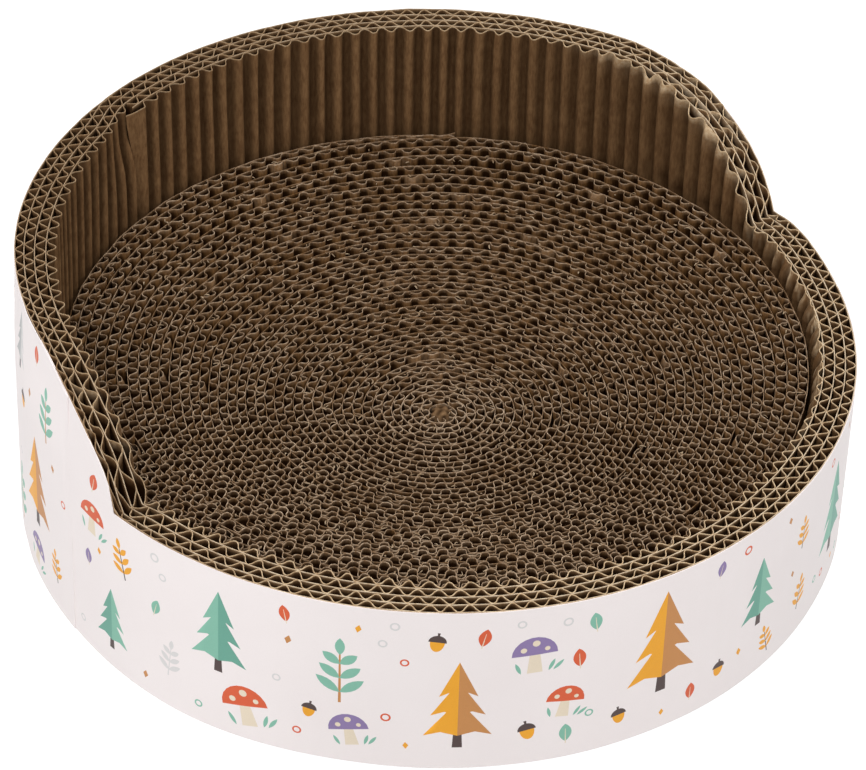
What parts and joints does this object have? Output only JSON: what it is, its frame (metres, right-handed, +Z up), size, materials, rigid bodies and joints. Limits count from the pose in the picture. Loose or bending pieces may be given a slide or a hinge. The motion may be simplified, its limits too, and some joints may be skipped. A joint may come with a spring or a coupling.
{
  "type": "cat scratcher",
  "caption": "Round corrugated-cardboard cat scratcher bed: wound wall with a tall back and low front, dished wound scratching pad that lifts out, paper wrap, base disc.",
  "frame": {"origin": "centre of the base disc's underside, on the floor", "axes": "+Z up; the tall back of the wall towards +Y and its low front towards -Y; +X to the right seen from the front"},
  "size_m": [0.38, 0.38, 0.139],
  "materials": {
    "base_board": "matt brown kraft board",
    "wall_board": "matt kraft liner with lighter cut edges",
    "wall_flutes": "matt brown fluting paper with lighter cut edges",
    "wrap_paper": "smooth printed white paper with small coloured motifs",
    "pad_board": "matt brown corrugated strip, cut edges up, frayed"
  },
  "bodies": {
    "shell": {"base_disc": "base_board", "wall_liner": "wall_board", "wall_fluting": "wall_flutes", "printed_wrap": "wrap_paper"},
    "pad": {"pad_strip": "pad_board"}
  },
  "joints": [
    {"name": "pad_lift", "type": "slide", "parent": "shell", "child": "pad", "axis": [0, 0, 1], "range_m": [0, 0.15]}
  ]
}
